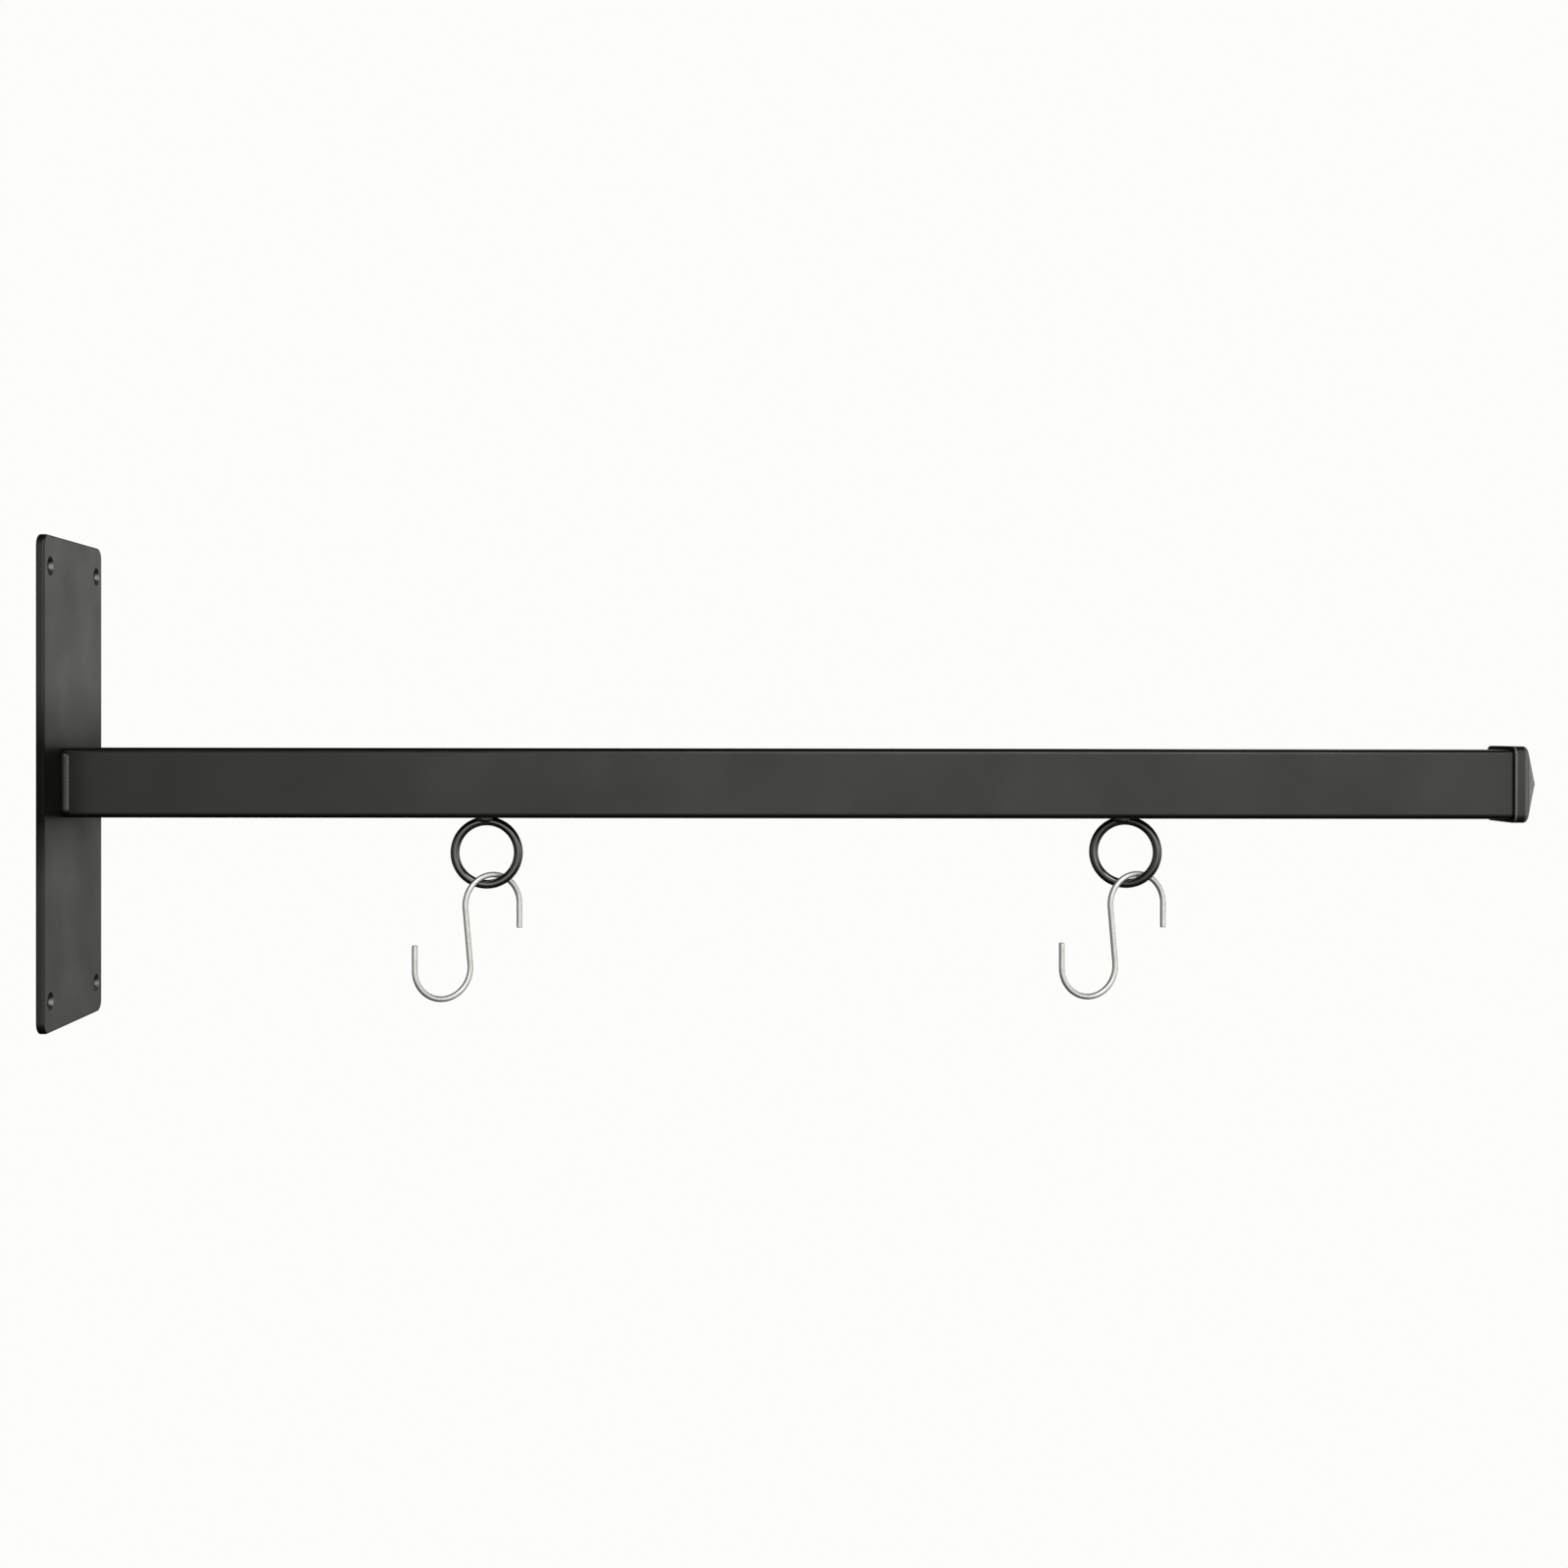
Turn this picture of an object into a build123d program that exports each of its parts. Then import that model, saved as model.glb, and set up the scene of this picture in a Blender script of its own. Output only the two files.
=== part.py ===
from build123d import *
import math
import os

# A hanging sign bracket for a wall. A square tube arm is welded to a flat
# wall plate, an external pyramid cap closes its free end, and two rings are
# welded under it. An S-hook hangs loose in each ring and carries the sign.
#
# Frame, in millimetres: the origin is the centre of the plate's wall face,
# which is also on the arm's axis. +X points along the arm, away from the
# wall, +Z is up, and the bracket is symmetrical about the plane Y = 0, apart
# from the turn of the outer ring and the lie of the two hooks.

# Wall plate
plate_width = 101.6
plate_height = 266.7
plate_thickness = 4.76
plate_corner_radius = 6.35
plate_edge_radius = 1.2

# Screw holes in the plate, countersunk from the front
hole_spacing_across = 81.0
hole_spacing_up = 233.4
hole_diameter = 6.5
countersink_diameter = 10.6
countersink_angle = 90.0
countersink_rim_radius = 0.5

# Arm: a square tube that stands on the plate
tube_size = 38.1
tube_wall = 1.9
tube_corner_radius = 3.0
tube_length = 801.5

# Welds up the two upright sides of the arm's foot
arm_weld_leg = 2.6
arm_weld_length = 35.0

# End cap: a skirt that slides over the tube, closed by a low pyramid
cap_skirt_length = 7.3
cap_pyramid_height = 11.3
cap_wall = 1.9
cap_fit_clearance = 0.15
cap_edge_radius = 0.8
cap_tip_size = 3.0

# Rings under the arm, measured from the front face of the plate. The wire is
# melted flat where it meets the arm, which sets the outer ring a little higher.
# The outer ring also stands askew, turned about the vertical
ring_positions = {"inner": 228.6, "outer": 584.2}
ring_flat_depth = {"inner": 0.2, "outer": 0.9}
ring_turn = {"inner": 0.0, "outer": -17.5}
ring_wire_diameter = 5.0
ring_inside_diameter = 30.2

# Lump of weld round the flat of a ring: its length, how far it stands out
# beside the wire, how far down it reaches, the radius of its corners and lower
# edge, and how far its middle lies outboard of the ring's middle
ring_weld_length = 10.0
ring_weld_leg = 1.5
ring_weld_throat = 3.4
ring_weld_round = 2.6
ring_weld_offset = {"inner": -0.9, "outer": -1.9}

# S-hooks: two equal bowls of round wire, turned half a turn to each other
hook_wire_diameter = 3.175
hook_height = 70.4
hook_inside_width = 30.0
hook_stem_lean = 5.5
hook_tip_length = 13.7
hook_end_radius = 0.4
hook_clearance = 0.2

# How each hook lies in its ring: its turn about the vertical, and how far
# the middle of its upper bowl lies outboard of the middle of the ring
hook_yaw = {"inner": 32.0, "outer": 18.5}
hook_offset = {"inner": 3.2, "outer": 6.2}

# Places and sizes that follow from the values above
tube_start = plate_thickness
tube_end = tube_start + tube_length
cap_bore = tube_size + 2 * cap_fit_clearance
cap_size = cap_bore + 2 * cap_wall
cap_bore_radius = tube_corner_radius + cap_fit_clearance
cap_corner_radius = cap_bore_radius + cap_wall
ring_radius = (ring_inside_diameter + ring_wire_diameter) / 2
ring_outside_radius = ring_radius + ring_wire_diameter / 2
hook_bowl_radius = (hook_inside_width + hook_wire_diameter) / 2


def square_face(at_x, size, corner_radius):
    """A square with round corners, across the arm, at this X."""
    across_arm = Plane(origin=(at_x, 0, 0), x_dir=(0, 1, 0), z_dir=(1, 0, 0))
    return across_arm * RectangleRounded(size, size, corner_radius)


def square_bar(start_x, length, size, corner_radius):
    """A bar along the arm with a square section and round corners."""
    return extrude(square_face(start_x, size, corner_radius), length, dir=(1, 0, 0))


def wall_plate():
    """Flat plate with round corners, soft edges and four countersunk holes."""
    on_wall = Plane(origin=(0, 0, 0), x_dir=(0, 1, 0), z_dir=(1, 0, 0))
    outline = on_wall * RectangleRounded(plate_width, plate_height, plate_corner_radius)
    plate = extrude(outline, plate_thickness, dir=(1, 0, 0))
    rims = plate.edges().filter_by(lambda edge: abs(edge.center().X - plate_thickness / 2) > 0.1)
    plate = fillet(rims, plate_edge_radius)
    on_front = Plane(origin=(plate_thickness, 0, 0), x_dir=(0, 1, 0), z_dir=(1, 0, 0))
    cutter = hole_cutter()
    for place in GridLocations(hole_spacing_across, hole_spacing_up, 2, 2):
        plate -= on_front * place * cutter
    return plate


def hole_cutter():
    """The space of one screw hole: bore, cone and the soft rim in front.

    It is turned about Z and stands with the plate's front face at Z = 0.
    """
    bore = hole_diameter / 2
    rim = countersink_diameter / 2
    slope = math.radians(countersink_angle / 2)
    cone_depth = (rim - bore) / math.tan(slope)
    rim_turn = math.pi / 2 - slope
    run_out = countersink_rim_radius * math.tan(rim_turn / 2)
    cone_start = (rim - run_out * math.sin(slope), -run_out * math.cos(slope))
    rim_end = (rim + run_out, 0)
    top = 1.0
    bottom = -plate_thickness - top
    profile = Polyline(rim_end, (rim_end[0], top), (0, top), (0, bottom),
                       (bore, bottom), (bore, -cone_depth), cone_start)
    soft_rim = TangentArc(cone_start, rim_end, tangent=(math.sin(slope), math.cos(slope)))
    section = make_face(Plane.XZ * (profile + soft_rim))
    return revolve(section, Axis.Z)


def arm_tube():
    """Hollow square tube from the plate to the inside of the cap."""
    outside = square_bar(tube_start, tube_length, tube_size, tube_corner_radius)
    inside = square_bar(tube_start, tube_length, tube_size - 2 * tube_wall, tube_corner_radius - tube_wall)
    return outside - inside


def arm_weld(side):
    """Round-topped bead up one side of the tube's foot, with domed ends.

    The side is 1 for the +Y face of the tube and -1 for the -Y face.
    """
    straight = arm_weld_length - 2 * arm_weld_leg
    corner = Location((tube_start, side * tube_size / 2, 0))
    bead = corner * Cylinder(arm_weld_leg, straight)
    for end in (-1, 1):
        bead += corner * Location((0, 0, end * straight / 2)) * Sphere(arm_weld_leg)
    bead = split(bead, bisect_by=Plane.YZ.offset(tube_start), keep=Keep.TOP)
    return bead - square_bar(tube_start, 2 * arm_weld_leg, tube_size, tube_corner_radius)


def end_cap():
    """Moulded cap: a skirt over the tube's end and a hollow low pyramid."""
    skirt_start = tube_end - cap_skirt_length
    skirt = square_bar(skirt_start, cap_skirt_length, cap_size, cap_corner_radius)
    tip = square_face(tube_end + cap_pyramid_height, cap_tip_size, cap_tip_size / 3)
    roof = loft([square_face(tube_end, cap_size, cap_corner_radius), tip], ruled=True)
    cap = skirt + roof
    cap = fillet(cap.faces().sort_by(Axis.X)[-1].edges(), cap_edge_radius)
    rim = cap.faces().sort_by(Axis.X)[0]
    cap = fillet(rim.edges(), cap_edge_radius)
    hollow_height = cap_pyramid_height - cap_wall
    hollow_tip = square_face(tube_end + hollow_height, cap_tip_size, cap_tip_size / 3)
    hollow = loft([square_face(tube_end, cap_bore, cap_bore_radius), hollow_tip], ruled=True)
    cap -= square_bar(skirt_start, cap_skirt_length, cap_bore, cap_bore_radius)
    return cap - hollow


def ring_centre(name):
    """Middle of a ring, under the arm's middle line."""
    height = -tube_size / 2 + ring_flat_depth[name] - ring_outside_radius
    return Vector(plate_thickness + ring_positions[name], 0, height)


def ring_plane(name):
    """Level plane through the middle of a ring, with X along the ring's plane."""
    turn = math.radians(ring_turn[name])
    return Plane(origin=ring_centre(name), x_dir=(math.cos(turn), math.sin(turn), 0), z_dir=(0, 0, 1))


def ring_wire(name):
    """Whole ring of round wire, upright under the arm, before it is melted flat."""
    level = ring_plane(name)
    across_hole = Plane(origin=level.origin, x_dir=level.x_dir, z_dir=level.y_dir)
    return across_hole * Torus(ring_radius, ring_wire_diameter / 2)


def hanging_ring(name):
    """Closed ring of round wire, flat where it meets the arm."""
    return split(ring_wire(name), bisect_by=Plane.XY.offset(-tube_size / 2), keep=Keep.BOTTOM)


def ring_weld(name):
    """Lump of weld round the top of a ring, filled in on both sides of the wire."""
    width = ring_wire_diameter + 2 * ring_weld_leg
    level = ring_plane(name)
    seat = level.offset(-tube_size / 2 - level.origin.Z)
    outline = Pos(ring_weld_offset[name], 0) * RectangleRounded(ring_weld_length, width, ring_weld_round)
    lump = extrude(seat * outline, ring_weld_throat, dir=(0, 0, -1))
    lump = fillet(lump.faces().sort_by(Axis.Z)[0].edges(), ring_weld_round)
    return lump - ring_wire(name)


def hook_path():
    """Middle line of an S-hook, drawn flat about the middle of its upper bowl."""
    radius = hook_bowl_radius
    lean = math.radians(hook_stem_lean)
    drop = hook_height - hook_wire_diameter - 2 * radius
    stem = (drop - 2 * radius * math.sin(lean)) / math.cos(lean)
    shift = 2 * radius * math.cos(lean) - stem * math.sin(lean)
    lower = Vector(-shift, -drop)
    upper_turn = CenterArc((0, 0), radius, 0, 180 + hook_stem_lean)
    lower_turn = CenterArc(lower, radius, hook_stem_lean, -180 - hook_stem_lean)
    upper_tip = Line((radius, -hook_tip_length), upper_turn @ 0)
    middle_run = Line(upper_turn @ 1, lower_turn @ 0)
    lower_tip = Line(lower_turn @ 1, (lower.X - radius, lower.Y + hook_tip_length))
    return Wire([upper_tip, upper_turn, middle_run, lower_turn, lower_tip])


def wire_gap(name, sideways, height):
    """Least gap between a ring's wire and the upper bowl of its hook.

    The bowl's middle lies this far sideways of the ring's plane, and at
    this height over the lowest point of the ring's middle line.
    """
    yaw = math.radians(hook_yaw[name] - ring_turn[name])
    steps = 180
    least = math.inf
    for step in range(steps + 1):
        turn = math.pi * step / steps
        along = hook_bowl_radius * math.cos(turn)
        x = hook_offset[name] + along * math.cos(yaw)
        y = sideways + along * math.sin(yaw)
        z = height + hook_bowl_radius * math.sin(turn) - ring_radius
        away = math.hypot(math.hypot(x, z) - ring_radius, y)
        least = min(least, away)
    return least - (ring_wire_diameter + hook_wire_diameter) / 2


def resting_height(name, sideways):
    """Lowest height at which the bowl clears the ring by the hook's clearance.

    The bowl starts with its top on the ring's wire. It is raised until both
    of its sides are clear, and the last step is then halved down.
    """
    step = hook_wire_diameter / 10
    height = (ring_wire_diameter + hook_wire_diameter) / 2 + hook_clearance - hook_bowl_radius
    while wire_gap(name, sideways, height) < hook_clearance and height < ring_radius:
        height += step
    for _ in range(20):
        step /= 2
        if wire_gap(name, sideways, height - step) >= hook_clearance:
            height -= step
    return height


def hook_frame(name):
    """Plane of a hook at rest, with its origin at the middle of its upper bowl.

    Of all the places beside the ring's plane, the hook takes the one where
    it hangs lowest, so both of its sides bear on the ring.
    """
    steps = 40
    reach = hook_wire_diameter
    places = [reach * (2 * step / steps - 1) for step in range(steps + 1)]
    sideways = min(places, key=lambda place: resting_height(name, place))
    height = resting_height(name, sideways)
    middle = ring_plane(name).from_local_coords((hook_offset[name], sideways, height - ring_radius))
    yaw = math.radians(hook_yaw[name])
    flat = Vector(math.cos(yaw), math.sin(yaw), 0)
    return Plane(origin=middle, x_dir=flat, z_dir=flat.cross(Vector(0, 0, 1)))


def s_hook(name):
    """Round wire bent to an S, cut square with the ends just broken."""
    path = hook_frame(name) * hook_path()
    section = Plane(origin=path @ 0, z_dir=path % 0) * Circle(hook_wire_diameter / 2)
    hook = sweep(section, path=path)
    ends = [hook.faces().filter_by(GeomType.PLANE).sort_by_distance(path @ at)[0] for at in (0, 1)]
    return fillet(ends[0].edges() + ends[1].edges(), hook_end_radius)


os.makedirs("parts", exist_ok=True)
export_step(wall_plate(), "parts/wall_plate.step")
export_step(arm_tube(), "parts/arm_tube.step")
export_step(arm_weld(1), "parts/left_arm_weld.step")
export_step(arm_weld(-1), "parts/right_arm_weld.step")
export_step(end_cap(), "parts/end_cap.step")
for name in ring_positions:
    export_step(hanging_ring(name), f"parts/{name}_hanging_ring.step")
    export_step(ring_weld(name), f"parts/{name}_ring_weld.step")
    export_step(s_hook(name), f"parts/{name}_s_hook.step")
    frame = hook_frame(name)
    print(name, "hook middle", frame.origin, "axis", frame.z_dir)
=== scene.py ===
"""Finishes, weld beads, end cap, studio and camera of the hanging sign bracket."""

import math

import bmesh
import bpy
from bpy.props import FloatProperty, FloatVectorProperty, IntProperty, PointerProperty
from bpy.types import Operator, Panel, PropertyGroup
from mathutils import Euler, Matrix, Vector, noise


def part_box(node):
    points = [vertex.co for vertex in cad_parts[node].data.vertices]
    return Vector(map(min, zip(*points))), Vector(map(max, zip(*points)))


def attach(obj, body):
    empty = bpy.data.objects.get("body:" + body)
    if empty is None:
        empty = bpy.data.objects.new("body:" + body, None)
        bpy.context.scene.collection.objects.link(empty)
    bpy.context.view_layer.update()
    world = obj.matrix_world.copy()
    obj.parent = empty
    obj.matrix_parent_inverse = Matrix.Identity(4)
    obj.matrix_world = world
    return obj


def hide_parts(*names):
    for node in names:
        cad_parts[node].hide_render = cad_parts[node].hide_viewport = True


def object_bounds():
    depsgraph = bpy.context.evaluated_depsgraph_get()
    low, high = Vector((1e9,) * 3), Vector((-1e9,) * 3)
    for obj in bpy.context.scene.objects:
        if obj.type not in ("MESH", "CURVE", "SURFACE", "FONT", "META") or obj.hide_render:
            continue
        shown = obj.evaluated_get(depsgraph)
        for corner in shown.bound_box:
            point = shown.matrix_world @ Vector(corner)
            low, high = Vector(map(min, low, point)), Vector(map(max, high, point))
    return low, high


bl_info = {
    "name": "Sign Bracket",
    "version": (1, 0, 0),
    "blender": (4, 5, 0),
    "location": "View3D > Sidebar > Bracket",
    "description": "Coats the bracket, lays its weld beads and sets up its studio",
    "category": "Object",
}

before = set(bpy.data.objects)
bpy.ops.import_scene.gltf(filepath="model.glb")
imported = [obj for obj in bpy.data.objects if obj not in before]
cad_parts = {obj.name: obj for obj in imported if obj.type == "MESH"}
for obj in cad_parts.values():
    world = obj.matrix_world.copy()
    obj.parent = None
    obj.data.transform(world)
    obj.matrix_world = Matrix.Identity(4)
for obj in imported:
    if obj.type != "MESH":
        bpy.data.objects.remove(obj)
cad_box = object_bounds()

MILLIMETRE = 0.001
MICROMETRE = 0.000001
BRACKET = "bracket"

# Side of the arm that each of its welds is on, as the sign of Y
ARM_SIDES = {"left": 1, "right": -1}

# How far each ring is turned about the upright line through its weld
RING_TURNS = {"inner": 0.0, "outer": math.radians(-17.5)}

# Places of the screw holes from the plate's middle, how far bare metal shows
# from the axis of each, a touch beyond the walls of its countersink and its
# bore, and how far the bore reaches from the wall
HOLE_ACROSS = 40.5 * MILLIMETRE
HOLE_UP = 116.7 * MILLIMETRE
COUNTERSINK_REACH = 5.35 * MILLIMETRE
BORE_REACH = 3.3 * MILLIMETRE
BORE_DEPTH = 2.7 * MILLIMETRE

# The part of a noise's range in which nearly all of its values lie
NOISE_LOW = 0.3
NOISE_HIGH = 0.7

# Specular levels of a coat that is nearly matt and of one with its full gloss
MATT_LEVEL = 0.06
GLOSSY_LEVEL = 0.5

# Part of a painted highlight line's width that has its full colour
LINE_CORE = 0.3

# Density of the cap's flow marks, which run along the arm, and of the hooks'
# drawing marks, which run along their stems, in X, Y and Z
FLOW_DENSITY = (0.4, 1, 1)
DRAW_DENSITY = (1, 1, 0.08)

# Square of the smallest size of an arm bead's loop at its ends, as a part of
# its full size, so that the ends don't shrink to a point
LEAST_SQUARE = 0.004

# Fineness of the beads' and the cap's faces
STEPS_PER_RIPPLE = 8
LUMP_SEGMENTS = 96
CORNER_STEPS = 10
RIM_STEPS = 6
SHOULDER_STEPS = 8

# Places of the loops on the cap's pyramid, from the shoulder to the tip
PYRAMID_SHARES = (0.05, 0.35, 0.65, 0.9, 0.97)

# Fineness of the wandering and lumpy noise on the beads, in spots per metre
WANDER_FINENESS = 300
BEAD_LUMP_FINENESS = 500
RING_LUMP_FINENESS = 350

# Light of the surroundings, as (part of the direction, strength): by height,
# and round the horizon by X, in front of the bracket and behind it, with the
# share by Y of the light behind it
LIGHT_BY_HEIGHT = (
    (-0.9, 0.03), (-0.6, 0.08), (-0.45, 0.25), (-0.3, 0.6), (-0.1, 0.85),
    (0.08, 1.18), (0.3, 1.1), (0.45, 0.45), (0.6, 0.22), (0.9, 0.08))
LIGHT_IN_FRONT = (
    (-1.0, 0.4), (-0.7, 0.3), (-0.45, 0.35), (-0.36, 0.9), (-0.3, 0.75), (-0.26, 0.6),
    (-0.2, 0.85), (-0.12, 1.6), (0.0, 1.75), (0.1, 1.5), (0.3, 1.6), (0.4, 1.9), (0.5, 1.0),
    (0.7, 0.6), (0.85, 1.0), (0.93, 1.75), (1.0, 1.2))
LIGHT_BEHIND = (
    (-1.0, 0.12), (-0.5, 0.06), (-0.2, 0.04), (0.15, 0.06), (0.24, 0.65),
    (0.45, 0.54), (0.6, 0.85), (0.8, 0.4), (1.0, 0.35))
FRONT_TO_BACK = ((-0.15, 0.0), (0.15, 1.0))


# Settings that a user would change


class CoatSettings(PropertyGroup):
    """Black powder coat on the plate, the arm and the welds."""

    colour: FloatVectorProperty(
        name="Colour", description="Colour of the coat where it is thick",
        subtype="COLOR", size=3, min=0, max=1, default=(0.0042, 0.0042, 0.0040))
    thin_colour: FloatVectorProperty(
        name="Thin colour", description="Colour of the coat where it is thin",
        subtype="COLOR", size=3, min=0, max=1, default=(0.0075, 0.0075, 0.0072))
    roughness: FloatProperty(
        name="Roughness", description="Roughness at the glossiest spots", min=0, max=1, default=0.25)
    dull_roughness: FloatProperty(
        name="Dull roughness", description="Roughness at the dullest spots", min=0, max=1, default=0.38)
    peel_width: FloatProperty(
        name="Orange peel width", description="Distance from one dimple of the coat to the next",
        unit="LENGTH", min=0.0002, default=1.7 * MILLIMETRE)
    peel_depth: FloatProperty(
        name="Orange peel depth", description="Depth of the dimples",
        unit="LENGTH", min=0, default=5 * MICROMETRE)
    cloud_width: FloatProperty(
        name="Cloud width", description="Width of the spots where the coat is thin",
        unit="LENGTH", min=0.001, default=35 * MILLIMETRE)
    dull_width: FloatProperty(
        name="Dull width", description="Width of the dull spots",
        unit="LENGTH", min=0.001, default=45 * MILLIMETRE)
    sag_width: FloatProperty(
        name="Sag width", description="Distance from one sag of the coat to the next",
        unit="LENGTH", min=0.001, default=22 * MILLIMETRE)
    sag_depth: FloatProperty(
        name="Sag depth", description="Depth of the sags", unit="LENGTH", min=0, default=10 * MICROMETRE)
    # Reach of the painted shade: the plate's coat loses its gloss near the arm, where the arm shades it
    painted_shade_reach: FloatProperty(
        name="Dull reach", description="How far the dull coat reaches from the arm on the plate",
        unit="LENGTH", min=0.0001, default=35 * MILLIMETRE)
    hole_colour: FloatVectorProperty(
        name="Hole colour", description="Colour of the dark metal in the countersinks",
        subtype="COLOR", size=3, min=0, max=1, default=(0.2, 0.2, 0.195))
    bore_colour: FloatVectorProperty(
        name="Bore colour", description="Colour of the bare metal deep in the screw holes",
        subtype="COLOR", size=3, min=0, max=1, default=(0.25, 0.25, 0.245))


class RingSettings(PropertyGroup):
    """Glossy black coat on the two rings."""

    colour: FloatVectorProperty(
        name="Colour", description="Colour of the coat",
        subtype="COLOR", size=3, min=0, max=1, default=(0.004, 0.004, 0.0039))
    thin_colour: FloatVectorProperty(
        name="Thin colour", description="Colour of the coat where it is thin",
        subtype="COLOR", size=3, min=0, max=1, default=(0.007, 0.007, 0.0069))
    roughness: FloatProperty(
        name="Roughness", description="Roughness at the glossiest spots", min=0, max=1, default=0.08)
    dull_roughness: FloatProperty(
        name="Dull roughness", description="Roughness at the dullest spots", min=0, max=1, default=0.16)
    gloss: FloatProperty(
        name="Index of refraction", description="How strongly the coat mirrors its surroundings",
        min=1, max=3, default=2.0)
    cloud_width: FloatProperty(
        name="Cloud width", description="Width of the spots where the coat is thin",
        unit="LENGTH", min=0.0005, default=6 * MILLIMETRE)
    ripple_width: FloatProperty(
        name="Ripple width", description="Distance from one ripple of the wire to the next",
        unit="LENGTH", min=0.0002, default=2.4 * MILLIMETRE)
    ripple_depth: FloatProperty(
        name="Ripple depth", description="Depth of the ripples",
        unit="LENGTH", min=0, default=5 * MICROMETRE)


class CapSettings(PropertyGroup):
    """Moulded black plastic of the end cap."""

    colour: FloatVectorProperty(
        name="Colour", description="Colour of the plastic",
        subtype="COLOR", size=3, min=0, max=1, default=(0.010, 0.010, 0.0102))
    pale_colour: FloatVectorProperty(
        name="Pale colour", description="Colour where the plastic is rubbed or flowed",
        subtype="COLOR", size=3, min=0, max=1, default=(0.016, 0.016, 0.0165))
    roughness: FloatProperty(
        name="Roughness", description="Roughness at the glossiest spots", min=0, max=1, default=0.26)
    dull_roughness: FloatProperty(
        name="Dull roughness", description="Roughness at the dullest spots", min=0, max=1, default=0.36)
    grain_width: FloatProperty(
        name="Grain width", description="Distance from one grain of the mould to the next",
        unit="LENGTH", min=0.0001, default=0.45 * MILLIMETRE)
    grain_depth: FloatProperty(
        name="Grain depth", description="Depth of the grain",
        unit="LENGTH", min=0, default=4 * MICROMETRE)
    flow_width: FloatProperty(
        name="Flow width", description="Distance from one flow mark to the next",
        unit="LENGTH", min=0.0005, default=7 * MILLIMETRE)
    flow_depth: FloatProperty(
        name="Flow depth", description="Depth of the flow marks",
        unit="LENGTH", min=0, default=12 * MICROMETRE)
    gloss: FloatProperty(
        name="Index of refraction", description="How strongly the plastic mirrors its surroundings",
        min=1, max=3, default=1.49)
    # The line colour is a painted highlight, laid as pale lines beside the rim and on the shoulder
    painted_highlight_colour: FloatVectorProperty(
        name="Line colour", description="Colour of the rubbed lines beside the rim and on the shoulder",
        subtype="COLOR", size=3, min=0, max=1, default=(0.13, 0.13, 0.127))
    rim_highlight_inset: FloatProperty(
        name="Rim line inset", description="Distance from the rim to the middle of the line beside it",
        unit="LENGTH", default=1.1 * MILLIMETRE)
    rim_highlight_reach: FloatProperty(
        name="Rim line reach", description="Half the width of the line beside the rim",
        unit="LENGTH", min=0.0001, default=0.8 * MILLIMETRE)
    shoulder_highlight_inset: FloatProperty(
        name="Shoulder line inset", description="Distance from the shoulder back to the middle of its line",
        unit="LENGTH", default=0.9 * MILLIMETRE)
    shoulder_highlight_reach: FloatProperty(
        name="Shoulder line reach", description="Half the width of the line on the shoulder",
        unit="LENGTH", min=0.0001, default=1.3 * MILLIMETRE)
    skirt_growth: FloatProperty(
        name="Skirt growth", description="How much longer the skirt is than the plain one",
        unit="LENGTH", min=0, default=0.4 * MILLIMETRE)
    fit_gap: FloatProperty(
        name="Fit gap", description="Gap between the skirt and the arm",
        unit="LENGTH", min=0, default=0.15 * MILLIMETRE)
    wall: FloatProperty(
        name="Wall", description="Thickness of the cap", unit="LENGTH", min=0.0002, default=1.9 * MILLIMETRE)
    corner_radius: FloatProperty(
        name="Corner radius", description="Outer radius of the skirt's four corners",
        unit="LENGTH", min=0.002, default=5.05 * MILLIMETRE)
    rim_radius: FloatProperty(
        name="Rim radius", description="Outer radius of the rim",
        unit="LENGTH", min=0.0001, default=0.5 * MILLIMETRE)
    shoulder_radius: FloatProperty(
        name="Shoulder radius", description="Radius between the skirt and the pyramid",
        unit="LENGTH", min=0.0001, default=2.4 * MILLIMETRE)
    tip_reach: FloatProperty(
        name="Tip reach", description="Half the width of the pyramid's blunt tip",
        unit="LENGTH", min=0.0002, default=1.4 * MILLIMETRE)
    chamfer: FloatProperty(
        name="Chamfer", description="Width of the small chamfers inside the cap and at its tip",
        unit="LENGTH", min=0.00001, default=0.1 * MILLIMETRE)


class HookSettings(PropertyGroup):
    """Bright zinc plate on the two S-hooks."""

    colour: FloatVectorProperty(
        name="Colour", description="Colour of the bright zinc",
        subtype="COLOR", size=3, min=0, max=1, default=(0.91, 0.91, 0.9))
    cloudy_colour: FloatVectorProperty(
        name="Cloudy colour", description="Colour of the zinc where it has clouded",
        subtype="COLOR", size=3, min=0, max=1, default=(0.85, 0.852, 0.85))
    roughness: FloatProperty(
        name="Roughness", description="Roughness of the bright zinc", min=0, max=1, default=0.46)
    dull_roughness: FloatProperty(
        name="Dull roughness", description="Roughness of the clouded zinc", min=0, max=1, default=0.56)
    cloud_width: FloatProperty(
        name="Cloud width", description="Width of the clouded spots",
        unit="LENGTH", min=0.0005, default=5 * MILLIMETRE)
    draw_width: FloatProperty(
        name="Draw mark width", description="Distance from one mark of the wire drawing to the next",
        unit="LENGTH", min=0.0001, default=0.35 * MILLIMETRE)
    draw_depth: FloatProperty(
        name="Draw mark depth", description="Depth of the marks of the wire drawing",
        unit="LENGTH", min=0, default=0.8 * MICROMETRE)


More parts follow.
